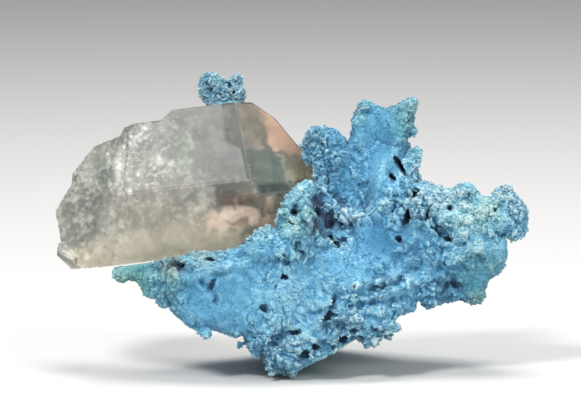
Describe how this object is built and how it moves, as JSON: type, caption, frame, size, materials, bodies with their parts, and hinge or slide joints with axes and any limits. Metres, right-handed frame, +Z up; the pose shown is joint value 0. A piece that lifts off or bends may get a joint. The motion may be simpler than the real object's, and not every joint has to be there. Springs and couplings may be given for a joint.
{
  "type": "shattuckite mineral specimen with quartz crystal",
  "caption": "Cabinet mineral specimen: sky-blue botryoidal shattuckite crust with a stout clear quartz crystal lying in it and a small blue tuft on the crystal, on a small flat cut foot.",
  "frame": {"origin": "middle of the specimen's box, at the height of the flat cut face that it stands on", "axes": "+X to the right as seen from its front, along its longest side; +Y away from the viewer; +Z up"},
  "size_m": [0.095, 0.0439, 0.0591],
  "materials": {
    "shattuckite": "matte",
    "shattuckite_pale": "matte",
    "quartz": "gloss"
  },
  "bodies": {
    "root": {"shattuckite_matrix": "shattuckite", "quartz_crystal": "quartz", "shattuckite_tuft": "shattuckite_pale"}
  },
  "joints": []
}
